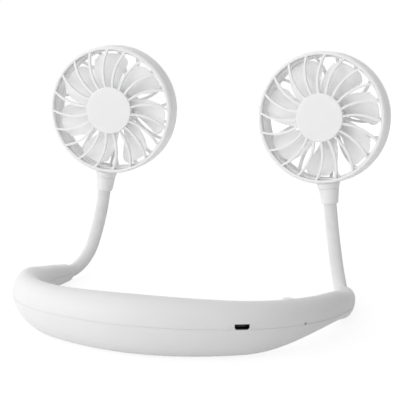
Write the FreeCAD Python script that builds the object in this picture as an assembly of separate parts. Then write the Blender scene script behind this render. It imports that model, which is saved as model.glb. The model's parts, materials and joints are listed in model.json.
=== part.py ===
# Electric neck fan: a hollow C-shaped neckband with two small fan heads on flexible necks.
# Millimetres and degrees. The pieces are drawn in the band's own frame: origin at the middle of the
# band's back, on the parting plane, +Y towards the band's tips, +Z up, left at -X.
# Each fan head is drawn in a head frame: origin in the middle of the front rim, +Z out of the front,
# +Y up, stem at -Y. At the end everything is stood on its feet: back and arms of the band on Z = 0.
import FreeCAD
import Part
import math
import os

from FreeCAD import Matrix, Placement, Vector

# General fits
OVERRUN = 5.0            # how far a cutter reaches past what it cuts
SLIP_GAP = 0.1           # gap round a piece that is pushed into a seat
RUN_GAP = 0.05           # radial gap of a turning or sliding fit

# Neckband outline: half of the C, from the middle of the back to a tip
BACK_RADIUS = 134.0
BACK_ARC = 20.3
CORNER_RADIUS = 67.6
CORNER_ARC = 63.7
ARM_RADIUS = 98.6
ARM_ARC = 23.3

# Neckband section: height above and below the parting plane and thickness, at five stations
ARM_SHARE = 0.86
STATION_SHARES = (0.0, 0.35, 0.70, ARM_SHARE, 1.0)
BACK_TOP = 13.9
SHOULDER_TOP = 12.5
ELBOW_TOP = 11.0
ARM_TOP = 7.4
TIP_TOP = 4.9
BACK_BOTTOM = 17.4
SHOULDER_BOTTOM = 15.5
ELBOW_BOTTOM = 5.0
ARM_BOTTOM = 8.0
TIP_BOTTOM = 5.7
BACK_THICK = 23.4
SHOULDER_THICK = 19.6
ELBOW_THICK = 15.0
ARM_THICK = 13.6
TIP_THICK = 12.6
ROUNDING_SHARE = 0.57    # handle length of the section's curves, as a share of its half sizes
SECTION_COUNT = 35
WALL = 1.8
TIP_PLUG = 14.0          # solid length at each tip, which clamps the flexible neck
TIP_EDGE = 1.2           # rounding of the tip's end

# Parting line of the two band shells
SEAM_GROOVE = 0.26
GROOVE_DEPTH = 0.25
LIP_HEIGHT = 1.4
LIP_SHARE = 0.5          # share of the wall that the tongue takes

# Shell screws and their bosses
BACK_BOSS_RUN = 45.2
ARM_BOSS_RUN = 99.0
BOSS_RADIUS = 2.6
SCREW_RADIUS = 0.9
SCREW_HEAD_RADIUS = 1.7
SCREW_HEAD_HEIGHT = 1.2
SCREW_LENGTH = 8.0
SCREW_FLOOR = 2.0        # plastic left under the parting plane for the screw head to pull on
SCREW_SLOT = 0.5         # width and depth of the cross slot

# Battery cells and their cradles
CELL_RADIUS = 7.0
CELL_LENGTH = 38.0
CELL_GAP = 1.6           # from the middle of the back to each cell's end
CELL_DROP = 1.3
CELL_CAP_RADIUS = 2.6
CELL_CAP_HEIGHT = 0.8
CRADLE_THICK = 1.8
CRADLE_SPACING = 24.0

# Circuit board on the right-hand corner; runs are measured from the start of the corner arc
BOARD_START = 1.0
BOARD_LENGTH = 46.0
BOARD_SHARES = (0.0, 0.5, 1.0)
BOARD_WIDTH = 11.0
BOARD_THICK = 1.2
POST_RADIUS = 1.5
POST_RUNS = (10.0, 27.0, 43.0)
POST_OFFSET = 3.2

# Charging socket
USB_RUN = 5.2
USB_WIDTH = 7.5
USB_HEIGHT = 2.6
USB_DEPTH = 5.6
USB_CHAMFER = 0.8
USB_WALL = 0.3
USB_RECESS = 0.7         # from the band's outer face to the socket's mouth
USB_TONGUE_WIDTH = 4.6
USB_TONGUE_THICK = 0.7
USB_CLEARANCE = 0.15
TAB_WIDTH = 12.0
TAB_HEIGHT = 1.4

# Indicator
LED_RUN = 37.2
LENS_RADIUS = 0.75
LED_WIDTH = 1.6
LED_DEPTH = 1.0
LED_HEIGHT = 0.7

# Power button and the switch under it
BUTTON_RUN = 33.5
BUTTON_OFFSET = 2.4      # towards the neck, from the band's centreline
BUTTON_RADIUS = 3.0
BUTTON_PROUD = 0.6
BUTTON_GAP = 0.2
BUTTON_DOME = 0.4
BUTTON_FLANGE = 0.7
BUTTON_FLANGE_THICK = 0.8
BUTTON_TRAVEL = 0.5
STEM_PIN_RADIUS = 1.3
SWITCH_SIDE = 6.0
SWITCH_HEIGHT = 3.0
PLUNGER_RADIUS = 1.7
PLUNGER_HEIGHT = 1.0
PLUNGER_DEPTH = 1.2

# Flexible necks
SLEEVE_RADIUS = 3.85
SLEEVE_BORE = 2.75
CORE_RADIUS = 2.6
CORE_BORE = 1.3
CORE_TURN_GAP = 2.2      # gap between spans of the core, where the neck bends
SLEEVE_SEAT = 5.5
FERRULE_RADIUS = 3.3
FERRULE_LENGTH = 4.6
LOWER_BEND_RUN = 13.0    # from the tip of the band to the lower bend
UPPER_BEND_RUN = 13.0    # from the upper bend to the head's socket

# How each neck is bent at rest: its reach, and how far its head leans in, turns in and tips back
LEFT_NECK_INWARD = 15.31
LEFT_NECK_FORWARD = 23.34
LEFT_NECK_RISE = 49.49
LEFT_HEAD_LEAN = 7.1
LEFT_HEAD_TURN = 2.0
LEFT_HEAD_TIP = -1.9
RIGHT_NECK_INWARD = 14.5
RIGHT_NECK_FORWARD = 25.9
RIGHT_NECK_RISE = 48.99
RIGHT_HEAD_LEAN = 6.9
RIGHT_HEAD_TURN = 4.2
RIGHT_HEAD_TIP = 3.2
LEFT_BLADE_PHASE = 26.0  # how far each impeller is turned at rest
RIGHT_BLADE_PHASE = 34.4

# Motor leads
LEAD_RADIUS = 0.9
LEAD_CHANNEL_GAP = 0.3
LEAD_BEND_SHARE = 0.45   # share of the shorter run that a bend's tangent may take
LEAD_STRAIGHT = 8.0      # straight run before each tip

# Fan head shells
HEAD_RADIUS = 39.0
RIM_WALL = 2.2
RIM_DEPTH = 13.7
FRONT_SKIRT = 5.0
RIM_EDGE = 0.9
LIP_WALL = 0.8
LIP_REACH = 2.2
HUB_RADIUS = 14.3
HUB_RISE = 2.0
HUB_THICK = 2.0
HUB_EDGE = 0.5
RIB_WIDTH = 1.35
RIB_DEPTH = 2.4
FRONT_RIBS = 20
FRONT_RIB_PHASE = 2.5    # how far the first rib stands off the stem's plane
RIB_SWIRL = 7.0          # how far a rib's outer end lags behind its root
RIB_BOW = 1.0            # how far a rib's middle leads its root
DOME_BOW = 0.5           # how far the front ribs bulge between hub and rim
REAR_DOME_BOW = 1.2
REAR_RIBS = 18
REAR_RIB_WIDTH = 1.7
REAR_RIB_DEPTH = 2.0
REAR_RING_WIDTH = 3.2
REAR_RING_DROP = 2.4
CUP_WALL = 1.9
CUP_END = 1.8
STEM_FLARE = 7.3
STEM_RADIUS = 5.95
STEM_LENGTH = 3.3
SPIGOT_RADIUS = 4.5
SOCKET_LENGTH = 8.7
SOCKET_FOOT = 5.0
SOCKET_EDGE = 0.6

# Impeller
IMPELLER_RADIUS = 34.3
IMPELLER_FRONT = 3.4     # behind the front rim
HUB_CUP_RADIUS = 13.0
HUB_CUP_WALL = 1.5
HUB_CUP_DEPTH = 9.4
BLADE_COUNT = 7
BLADE_THICK = 1.2
BLADE_INSET = 0.8        # from the hub cup's edges to the blades
ROOT_SPAN_SHARE = 0.90   # angle covered by a blade's root, as a share of the blade pitch
TIP_SPAN_SHARE = 0.78
BLADE_SWEEP = 30.0       # how far a blade's end lags behind its root
BLADE_SHARES = (0.0, 0.5, 1.0)
TIP_ROUND = 5.0          # rounding of the blade's outer corners
BLADE_CAMBER_SHARE = 0.10
SHAFT_BOSS_RADIUS = 2.4

# Motor
MOTOR_RADIUS = 10.2
MOTOR_LENGTH = 12.0
MOTOR_FRONT = 9.0        # behind the front rim
MOTOR_WALL = 0.6
MOTOR_NOSE_RADIUS = 3.0
MOTOR_NOSE = 0.8
END_CAP_THICK = 1.6
SHAFT_RADIUS = 1.0
SHAFT_COVER = 0.8        # plastic left in front of the shaft's end
NOSE_GAP = 0.6           # between the impeller's boss and the motor's nose
ROTOR_RADIUS = 7.6
ROTOR_LENGTH = 6.5
ROTOR_POLES = 3
ROTOR_SLOT = 2.4
BUSH_RADIUS = 2.2

X_AXIS, Y_AXIS, Z_AXIS = Vector(1, 0, 0), Vector(0, 1, 0), Vector(0, 0, 1)
SIDES = {"left": -1, "right": 1}


# Plain geometry helpers

def cylinder(radius, start, direction, length):
    return Part.makeCylinder(radius, length, start, direction)


def tube(outer, inner, start, direction, length):
    """A plain round tube."""
    return cylinder(outer, start, direction, length).cut(cylinder(inner, start, direction, length))


def face_of(edges):
    return Part.Face(Part.Wire(Part.__sortEdges__(edges)))


def polygon_edges(points):
    closed = list(points) + [points[0]]
    return [Part.makeLine(a, b) for a, b in zip(closed, closed[1:])]


def revolved(points):
    """Turns a closed outline of (radius, height) points about Z."""
    outline = face_of(polygon_edges([Vector(r, 0, z) for r, z in points]))
    return outline.revolve(Vector(), Z_AXIS, 360)


def block(origin, along, across, up, sizes, starts):
    """A box of the given sizes on three square axes; starts are its low corner along each axis."""
    box = Part.makeBox(*sizes)
    box.Placement = Placement(axes_matrix(origin, along, across, up))
    shift = along * starts[0] + across * starts[1] + up * starts[2]
    box.translate(shift)
    return box


def axes_matrix(origin, x_dir, y_dir, z_dir):
    return Matrix(x_dir.x, y_dir.x, z_dir.x, origin.x,
                  x_dir.y, y_dir.y, z_dir.y, origin.y,
                  x_dir.z, y_dir.z, z_dir.z, origin.z,
                  0, 0, 0, 1)


def arc_edge(start, middle, end):
    return Part.Arc(start, middle, end).toShape()


def fused(shapes):
    whole = shapes[0].multiFuse(shapes[1:]) if len(shapes) > 1 else shapes[0]
    return whole.removeSplitter()


# Neckband centreline and sections

BAND_ARCS = ((BACK_RADIUS, BACK_ARC), (CORNER_RADIUS, CORNER_ARC), (ARM_RADIUS, ARM_ARC))
BACK_RUN = BACK_RADIUS * math.radians(BACK_ARC)
CORNER_RUN = CORNER_RADIUS * math.radians(CORNER_ARC)
BAND_RUN = BACK_RUN + CORNER_RUN + ARM_RADIUS * math.radians(ARM_ARC)
TIP_AXIS_RISE = (TIP_TOP - TIP_BOTTOM) / 2


class Station:
    """A place on the band's centreline: its point, the way to the tip and the way out of the C."""

    def __init__(self, run):
        side = -1 if run < 0 else 1
        left, x, y, heading = abs(run), 0.0, 0.0, 0.0
        for radius, arc in BAND_ARCS:
            turn = min(left, radius * math.radians(arc)) / radius
            x += radius * (math.sin(heading + turn) - math.sin(heading))
            y += radius * (math.cos(heading) - math.cos(heading + turn))
            heading += turn
            left -= radius * turn
        self.along = Vector(side * math.cos(heading), math.sin(heading), 0)
        self.out = Vector(side * math.sin(heading), -math.cos(heading), 0)
        self.point = Vector(side * x, y, 0) + self.along * left
        self.share = min(abs(run) / BAND_RUN, 1.0)

    def at(self, offset, rise):
        """The point at an offset towards the neck and a height above the parting plane."""
        return self.point - self.out * offset + Z_AXIS * rise


def inward_of(station):
    """The level direction square to a station's run that makes right-handed axes with it."""
    return Z_AXIS.cross(station.along)


def smooth_value(share, values):
    """Value at a share of the band's run: a curve through the stations that never overshoots."""
    steps = list(zip(STATION_SHARES, STATION_SHARES[1:]))
    slopes = [(b - a) / (t - s) for (s, t), a, b in zip(steps, values, values[1:])]
    tangents = [0.0]
    for before, after in zip(slopes, slopes[1:]):
        tangents.append(2 * before * after / (before + after) if before * after > 0 else 0.0)
    tangents.append(slopes[-1])
    index = max(i for i, (s, t) in enumerate(steps) if share >= s)
    (s, t), width = steps[index], steps[index][1] - steps[index][0]
    u = (share - s) / width
    rise = values[index + 1] - values[index]
    first = tangents[index] * width
    last = tangents[index + 1] * width
    square, cube = 3 * rise - 2 * first - last, first + last - 2 * rise
    return values[index] + u * first + u ** 2 * square + u ** 3 * cube


def section_sizes(share):
    """Half thickness, height above and height below the parting plane."""
    thick = smooth_value(share, (BACK_THICK, SHOULDER_THICK, ELBOW_THICK, ARM_THICK, TIP_THICK))
    top = smooth_value(share, (BACK_TOP, SHOULDER_TOP, ELBOW_TOP, ARM_TOP, TIP_TOP))
    bottom = smooth_value(share, (BACK_BOTTOM, SHOULDER_BOTTOM, ELBOW_BOTTOM, ARM_BOTTOM, TIP_BOTTOM))
    return thick / 2, top, bottom


def section_wire(run, inset):
    """The band's rounded section at a run, drawn in by an inset: four curves with square handles."""
    station = Station(run)
    half, top, bottom = (size - inset for size in section_sizes(station.share))
    out, up = station.out, Z_AXIS
    ends = [out * half, up * top, out * -half, up * -bottom]
    edges = []
    for a, b in zip(ends, ends[1:] + ends[:1]):
        curve = Part.BezierCurve()
        poles = [a, a + b * ROUNDING_SHARE, b + a * ROUNDING_SHARE, b]
        curve.setPoles([station.point + pole for pole in poles])
        edges.append(curve.toShape())
    return Part.Wire(edges)


def band_loft(inset, end_run):
    """A solid that follows the whole band between two tips at end_run."""
    step = 2 * end_run / (SECTION_COUNT - 1)
    wires = [section_wire(-end_run + step * i, inset) for i in range(SECTION_COUNT)]
    return Part.makeLoft(wires, True, False)


def half_space(upper):
    """Everything above or below the parting plane."""
    reach = 2 * BAND_RUN
    low = 0 if upper else -reach
    return Part.makeBox(2 * reach, 2 * reach, reach, Vector(-reach, -reach, low))


def top_rise(run, offset, inset=0.0):
    """Height of the band's top surface, drawn in by an inset, at an offset from the centreline."""
    half, top, _ = (size - inset for size in section_sizes(Station(run).share))
    curve = Part.BezierCurve()
    curve.setPoles([Vector(half, 0, 0), Vector(half, ROUNDING_SHARE * top, 0),
                    Vector(ROUNDING_SHARE * half, top, 0), Vector(0, top, 0)])
    line = Part.makeLine(Vector(abs(offset), -top, 0), Vector(abs(offset), 2 * top, 0))
    return curve.toShape().distToShape(line)[1][0][0].y


# Routes: straight runs and tangent arcs, for necks and leads

class Route:
    """A chain of straight lines and arcs that can be cut by length and swept into a round rod."""

    def __init__(self, start, direction):
        self.pieces = []
        self.end = start
        self.direction = direction

    def line(self, length):
        self.pieces.append(("line", self.end, self.direction, length, None))
        self.end = self.end + self.direction * length
        return self

    def arc_to(self, point):
        """An arc that leaves along the present direction and ends at a point."""
        chord = point - self.end
        axis = self.direction.cross(chord)
        axis.normalize()
        half_turn = self.direction.getAngle(chord)
        radius = chord.Length / (2 * math.sin(half_turn))
        to_centre = axis.cross(self.direction) * radius
        arc = (axis, to_centre, radius)
        self.pieces.append(("arc", self.end, self.direction, radius * 2 * half_turn, arc))
        self.direction = turned(self.direction, axis, 2 * half_turn)
        self.end = point
        return self

    def biarc_to(self, point, direction):
        """Two arcs that meet the end point in the given direction."""
        chord = point - self.end
        ahead = chord.dot(self.direction + direction)
        spread = 2 * (1 - self.direction.dot(direction))
        reach = (math.sqrt(ahead ** 2 + spread * chord.dot(chord)) - ahead) / spread
        meeting = (self.end + point + (self.direction - direction) * reach) / 2
        return self.arc_to(meeting).arc_to(point)

    @property
    def length(self):
        return sum(piece[3] for piece in self.pieces)

    def place(self, run):
        """Point and direction at a length along the route."""
        pieces = list(self.pieces)
        while len(pieces) > 1 and run > pieces[0][3]:
            run -= pieces.pop(0)[3]
        kind, start, direction, _, arc = pieces[0]
        if kind == "line":
            return start + direction * run, direction
        axis, to_centre, radius = arc
        angle = run / radius
        return start + to_centre - turned(to_centre, axis, angle), turned(direction, axis, angle)

    def edges(self, first, last):
        """The route's edges between two lengths."""
        found, at = [], 0.0
        for kind, _, _, length, _ in self.pieces:
            low, high = max(first, at), min(last, at + length)
            if high - low > RUN_GAP:
                ends = [self.place(run)[0] for run in (low, (low + high) / 2, high)]
                found.append(Part.makeLine(ends[0], ends[2]) if kind == "line" else arc_edge(*ends))
            at += length
        return found

    def rod(self, radius, first=0.0, last=None):
        """A round rod along part of the route."""
        last = self.length if last is None else last
        point, direction = self.place(first)
        ring = Part.Wire(Part.makeCircle(radius, point, direction))
        return Part.Wire(self.edges(first, last)).makePipeShell([ring], True, False)

    def pipe(self, outer, inner, first=0.0, last=None):
        return self.rod(outer, first, last).cut(self.rod(inner, first, last))


def turned(vector, axis, angle):
    return FreeCAD.Rotation(axis, math.degrees(angle)).multVec(vector)


def rounded_route(points):
    """A route through points, each corner an arc as large as its runs allow."""
    route = Route(points[0], (points[1] - points[0]).normalize())
    for corner, after in zip(points[1:], points[2:]):
        leave = (after - corner).normalize()
        run_in, run_out = (corner - route.end).Length, (after - corner).Length
        cut = LEAD_BEND_SHARE * min(run_in, run_out)
        route.line(run_in - cut)
        route.arc_to(corner + leave * cut)
    return route.line((points[-1] - route.end).Length)


# Flexible necks: where they leave the band and where they meet the heads

class Neck:
    """One side's flexible neck and the fan head's place on it."""

    def __init__(self, side, reach, turns, phase):
        tip = Station(side * BAND_RUN)
        inward, forward, rise = reach
        lean, turn, tip_back = (math.radians(angle) for angle in turns)
        self.side = side
        self.phase = phase
        self.tip_out = tip.along
        self.root = tip.at(0, TIP_AXIS_RISE)
        self.up = Vector(-side * math.sin(lean), math.sin(tip_back), math.cos(lean)).normalize()
        facing = Vector(-side * math.sin(turn), -math.cos(turn), 0)
        self.across = self.up.cross(facing).normalize()
        self.front = self.across.cross(self.up)
        self.socket = self.root + Vector(-side * inward, forward, rise)
        middle = self.socket + self.up * (HEAD_RADIUS + STEM_LENGTH + SOCKET_LENGTH)
        self.head = middle + self.front * (RIM_DEPTH / 2)
        self.route = Route(self.root - self.tip_out * TIP_PLUG, self.tip_out).line(TIP_PLUG)
        self.route.biarc_to(self.socket, self.up)
        self.route.line(SOCKET_LENGTH + STEM_LENGTH)
        self.free_end = self.route.length - SOCKET_LENGTH - STEM_LENGTH
        self.lower_bend = TIP_PLUG + LOWER_BEND_RUN
        self.upper_bend = self.free_end - UPPER_BEND_RUN

    def head_placement(self):
        return Placement(axes_matrix(self.head, self.across, self.up, self.front))


LEFT_REACH = (LEFT_NECK_INWARD, LEFT_NECK_FORWARD, LEFT_NECK_RISE)
LEFT_TURNS = (LEFT_HEAD_LEAN, LEFT_HEAD_TURN, LEFT_HEAD_TIP)
RIGHT_REACH = (RIGHT_NECK_INWARD, RIGHT_NECK_FORWARD, RIGHT_NECK_RISE)
RIGHT_TURNS = (RIGHT_HEAD_LEAN, RIGHT_HEAD_TURN, RIGHT_HEAD_TIP)
NECKS = {"left": Neck(SIDES["left"], LEFT_REACH, LEFT_TURNS, LEFT_BLADE_PHASE),
         "right": Neck(SIDES["right"], RIGHT_REACH, RIGHT_TURNS, RIGHT_BLADE_PHASE)}
SPIGOT_END = SOCKET_LENGTH - SLEEVE_SEAT          # length of the socket that the stem's spigot takes


def neck_pieces(name):
    """Sleeve, three core spans, two end ferrules and the lead inside one neck."""
    neck = NECKS[name]
    route = neck.route
    sleeve_start = TIP_PLUG - SLEEVE_SEAT
    sleeve_end = neck.free_end + SLEEVE_SEAT - SLIP_GAP
    core_start = sleeve_start - FERRULE_LENGTH
    core_end = sleeve_end + SLIP_GAP + FERRULE_LENGTH
    half_gap = CORE_TURN_GAP / 2
    spans = {"root": (core_start, neck.lower_bend - half_gap),
             "middle": (neck.lower_bend + half_gap, neck.upper_bend - half_gap),
             "crown": (neck.upper_bend + half_gap, core_end)}
    pieces = {f"{name}_silicone_sleeve": route.pipe(SLEEVE_RADIUS, SLEEVE_BORE, sleeve_start, sleeve_end)}
    for part_name, (first, last) in spans.items():
        pieces[f"{name}_gooseneck_{part_name}"] = route.pipe(CORE_RADIUS, CORE_BORE, first, last)
    bore = CORE_RADIUS + RUN_GAP
    pieces[f"{name}_base_ferrule"] = route.pipe(FERRULE_RADIUS, bore, core_start, sleeve_start - SLIP_GAP)
    pieces[f"{name}_head_ferrule"] = route.pipe(FERRULE_RADIUS, bore, sleeve_end + 2 * SLIP_GAP, core_end)
    pieces[f"{name}_neck_lead"] = route.rod(LEAD_RADIUS, 0.0, core_end)
    return pieces


def tip_bores(neck):
    """What the flexible neck takes out of a tip of the band."""
    inward = neck.tip_out * -1
    mouth = neck.root + neck.tip_out * OVERRUN
    sleeve = cylinder(SLEEVE_RADIUS + SLIP_GAP, mouth, inward, OVERRUN + SLEEVE_SEAT)
    ferrule = cylinder(FERRULE_RADIUS + SLIP_GAP, mouth, inward, OVERRUN + SLEEVE_SEAT + FERRULE_LENGTH)
    lead = cylinder(LEAD_RADIUS + LEAD_CHANNEL_GAP, mouth, inward, OVERRUN + TIP_PLUG + OVERRUN)
    return sleeve.fuse(ferrule).fuse(lead)


# Neckband shells

def band_solid():
    """The band's full outside, with rounded tip ends."""
    solid = band_loft(0, BAND_RUN)
    ends = [Station(side * BAND_RUN) for side in SIDES.values()]
    rims = [edge for edge in solid.Edges
            if any(abs((edge.CenterOfMass - end.point).dot(end.along)) < RUN_GAP for end in ends)]
    return solid.makeFillet(TIP_EDGE, rims)


def charging_frame():
    """Station and mouth point of the charging socket."""
    station = Station(BACK_RUN + USB_RUN)
    half = section_sizes(station.share)[0]
    return station, station.at(-half, USB_HEIGHT / 2)


def socket_outline(width, height, chamfer, station, centre):
    """The socket's mouth: a rectangle with its lower corners cut off."""
    side, top = width / 2, height / 2
    spots = [(-side, top), (side, top), (side, chamfer - top), (side - chamfer, -top), (chamfer - side, -top),
             (-side, chamfer - top)]
    return face_of(polygon_edges([centre + station.along * a + Z_AXIS * b for a, b in spots]))


def socket_prism(grow, start, depth):
    """The charging socket's shape, grown all round, from a depth inside the band's face inwards."""
    station, mouth = charging_frame()
    outline = socket_outline(USB_WIDTH + 2 * grow, USB_HEIGHT + 2 * grow, USB_CHAMFER + grow,
                             station, mouth - station.out * start)
    return outline.extrude(station.out * -depth)


def parting_tab(grow):
    """The lower shell's raised tab round the charging socket."""
    station, _ = charging_frame()
    centre = station.at(0, 0)
    width, height = TAB_WIDTH + 2 * grow, TAB_HEIGHT + grow
    run_in = min(height, width / 2) / 2
    spots = [(-width / 2 - run_in, -grow), (width / 2 + run_in, -grow), (width / 2 - run_in, height),
             (run_in - width / 2, height)]
    outline = face_of(polygon_edges([centre + station.along * a + Z_AXIS * b for a, b in spots]))
    return outline.extrude(station.out * BACK_THICK)


def lens_axis():
    """Start, inside the band, and direction of the indicator lens."""
    station = Station(BACK_RUN + LED_RUN)
    return station.at(-BOARD_WIDTH / 2, LED_HEIGHT / 2), station.out


def button_frame():
    """Station and axis point, on the parting plane, of the power button."""
    station = Station(BACK_RUN + BUTTON_RUN)
    return station, station.at(BUTTON_OFFSET, 0)


def boss_runs():
    return [side * run for side in SIDES.values() for run in (BACK_BOSS_RUN, ARM_BOSS_RUN)]


def screw_seat(run):
    """Height of the shoulder that a screw's head pulls on."""
    bottom = section_sizes(Station(run).share)[2]
    return max(-SCREW_LENGTH * LIP_SHARE, SCREW_FLOOR - bottom) - SCREW_FLOOR * LIP_SHARE


def cell_axis(side):
    """Middle and direction of a battery cell, drawn towards the neck by half its bow."""
    station = Station(side * (CELL_GAP + CELL_LENGTH / 2))
    bow = CELL_LENGTH ** 2 / (8 * BACK_RADIUS)
    return station.at(bow / 2, -CELL_DROP), station.along


def cradle_ribs(inside):
    """Ribs across the lower shell that hold the cells, hollowed for them."""
    ribs = []
    for side in SIDES.values():
        middle, along = cell_axis(side)
        cell = cylinder(CELL_RADIUS + SLIP_GAP, middle - along * CELL_LENGTH, along, 2 * CELL_LENGTH)
        across = Z_AXIS.cross(along)
        for spot in (-CRADLE_SPACING / 2, CRADLE_SPACING / 2):
            sizes = (CRADLE_THICK, 2 * BACK_THICK, BACK_BOTTOM - CELL_DROP)
            starts = (spot - CRADLE_THICK / 2, -BACK_THICK, -sizes[2])
            slab = block(middle, along, across, Z_AXIS, sizes, starts)
            ribs.append(slab.cut(cell).common(inside))
    return ribs


def board_posts(inside):
    """Posts of the lower shell that carry the circuit board."""
    posts = []
    for run in POST_RUNS:
        station = Station(BACK_RUN + run)
        foot = station.at(-POST_OFFSET, -BACK_BOTTOM)
        posts.append(cylinder(POST_RADIUS, foot, Z_AXIS, BACK_BOTTOM - BOARD_THICK).common(inside))
    return posts


def wall_openings():
    """Cutters for everything that passes through the band's wall."""
    lens_start, lens_dir = lens_axis()
    _, button_axis = button_frame()
    return [socket_prism(USB_CLEARANCE, -OVERRUN, OVERRUN + 2 * WALL),
            cylinder(LENS_RADIUS + SLIP_GAP, lens_start, lens_dir, BACK_THICK),
            cylinder(BUTTON_RADIUS + BUTTON_GAP, button_axis, Z_AXIS, 2 * BACK_TOP)]


def level_slab(low, high):
    """A slab between two heights, wider than the band."""
    reach = 2 * BAND_RUN
    return Part.makeBox(2 * reach, 2 * reach, high - low, Vector(-reach, -reach, low))


def seam_grooves(outside):
    """The fine groove along the parting line, also round the charging socket's tab."""
    skin = outside.cut(band_loft(GROOVE_DEPTH, BAND_RUN))
    half = SEAM_GROOVE / 2
    tab_clear = parting_tab(half)
    return [skin.common(level_slab(-half, half)).cut(tab_clear),
            tab_clear.cut(parting_tab(-half)).common(skin)]


def boss_posts(inside):
    """Round posts from the floor to the roof of the band, for the screws."""
    posts = []
    for run in boss_runs():
        post = cylinder(BOSS_RADIUS, Station(run).at(0, -BACK_BOTTOM), Z_AXIS, BACK_BOTTOM + BACK_TOP)
        posts.append(post.common(inside))
    return posts


def screw_holes():
    """Cutters for the screws: through the lower shell, and pilot holes in the upper one."""
    lower, upper = [], []
    for run in boss_runs():
        station, seat = Station(run), screw_seat(run)
        floor, length = station.at(0, -BACK_BOTTOM), 2 * BACK_BOTTOM
        lower.append(cylinder(SCREW_RADIUS + SLIP_GAP, floor, Z_AXIS, length))
        lower.append(cylinder(SCREW_HEAD_RADIUS + SLIP_GAP, station.at(0, seat), Z_AXIS * -1, length))
        pilot = SCREW_LENGTH + seat + SLIP_GAP
        upper.append(cylinder(SCREW_RADIUS, station.at(0, -OVERRUN), Z_AXIS, OVERRUN + pilot))
    return lower, upper


def band_shells():
    """The upper and lower shells of the neckband, with a tongue between them along the parting line."""
    inner_run = BAND_RUN - TIP_PLUG
    outside = band_solid()
    hollow = band_loft(WALL, inner_run)
    inside = band_loft(WALL * LIP_SHARE, inner_run)
    openings = wall_openings()
    body = outside.cut([hollow] + openings + [tip_bores(neck) for neck in NECKS.values()])
    above, below = half_space(True), half_space(False)
    tab = parting_tab(0)
    tongue_slab = level_slab(0, LIP_HEIGHT)
    tongue_room = inside.cut(hollow).common(tongue_slab)
    tongue = band_loft(WALL * LIP_SHARE + SLIP_GAP, inner_run).common(tongue_slab)
    tongue = tongue.cut([hollow, parting_tab(SEAM_GROOVE)] + openings)
    posts, (lower_holes, upper_holes) = boss_posts(inside), screw_holes()
    grooves = seam_grooves(outside)

    roof = body.common(above)
    upper = roof.cut([tab, tongue_room])
    upper = upper.multiFuse([post.common(above) for post in posts])
    upper = upper.cut(upper_holes + grooves)
    low_inside = inside.common(below)
    lower = body.common(below)
    lower = lower.multiFuse([roof.common(tab), tongue] + cradle_ribs(low_inside) + board_posts(low_inside)
                            + [post.common(below) for post in posts])
    lower = lower.cut(lower_holes + grooves)
    return {"band_upper_shell": upper.removeSplitter(), "band_lower_shell": lower.removeSplitter()}


def shell_screws():
    """The four screws that draw the shells together, as one group."""
    screws = []
    for run in boss_runs():
        station = Station(run)
        seat = screw_seat(run)
        shank = cylinder(SCREW_RADIUS, station.at(0, seat), Z_AXIS, SCREW_LENGTH)
        head = cylinder(SCREW_HEAD_RADIUS, station.at(0, seat), Z_AXIS * -1, SCREW_HEAD_HEIGHT)
        screw = shank.fuse(head)
        for along, across in ((X_AXIS, Y_AXIS), (Y_AXIS, X_AXIS * -1)):
            sizes = (2 * SCREW_HEAD_RADIUS * LIP_SHARE, SCREW_SLOT, SCREW_SLOT)
            corner = (-sizes[0] / 2, -SCREW_SLOT / 2, -SCREW_HEAD_HEIGHT)
            screw = screw.cut(block(station.at(0, seat), along, across, Z_AXIS, sizes, corner))
        screws.append(screw.removeSplitter())
    return {"shell_screws": Part.makeCompound(screws)}


# Inside the neckband

def battery_cells():
    cells = {}
    for name, side in SIDES.items():
        middle, along = cell_axis(side)
        start = middle - along * (CELL_LENGTH / 2)
        can = cylinder(CELL_RADIUS, start, along, CELL_LENGTH - CELL_CAP_HEIGHT)
        edges = [edge for edge in can.Edges if edge.Curve.TypeId == "Part::GeomCircle"]
        can = can.makeFillet(CELL_CAP_HEIGHT, edges)
        cap = cylinder(CELL_CAP_RADIUS, start, along, CELL_LENGTH)
        cells[f"{name}_battery_cell"] = can.fuse(cap).removeSplitter()
    return cells


def circuit_board():
    """A board cut to the band's corner arc, lying just under the parting plane."""
    ends = []
    for share in BOARD_SHARES:
        station = Station(BACK_RUN + BOARD_START + BOARD_LENGTH * share)
        ends.append([station.at(sign * BOARD_WIDTH / 2, -BOARD_THICK) for sign in (-1, 1)])
    outer, inner = zip(*ends)
    outline = [arc_edge(*outer), Part.makeLine(outer[2], inner[2]), arc_edge(*inner[::-1]),
               Part.makeLine(inner[0], outer[0])]
    board = face_of(outline).extrude(Z_AXIS * BOARD_THICK)
    return {"circuit_board": board}


def charging_socket():
    """Folded metal shell of the charging socket and the contact tongue in it."""
    station, mouth = charging_frame()
    shell = socket_prism(0, USB_RECESS, USB_DEPTH)
    shell = shell.cut(socket_prism(-USB_WALL, USB_RECESS, USB_DEPTH - USB_WALL))
    back = mouth - station.out * (USB_RECESS + USB_DEPTH - USB_WALL)
    depth = USB_DEPTH * LIP_SHARE + USB_WALL
    sizes = (USB_TONGUE_WIDTH, depth, USB_TONGUE_THICK)
    tongue = block(back, station.along, inward_of(station), Z_AXIS, sizes,
                   (-USB_TONGUE_WIDTH / 2, -depth, -USB_TONGUE_THICK / 2))
    return {"usb_socket_shell": shell, "usb_contact_tongue": tongue}


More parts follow.
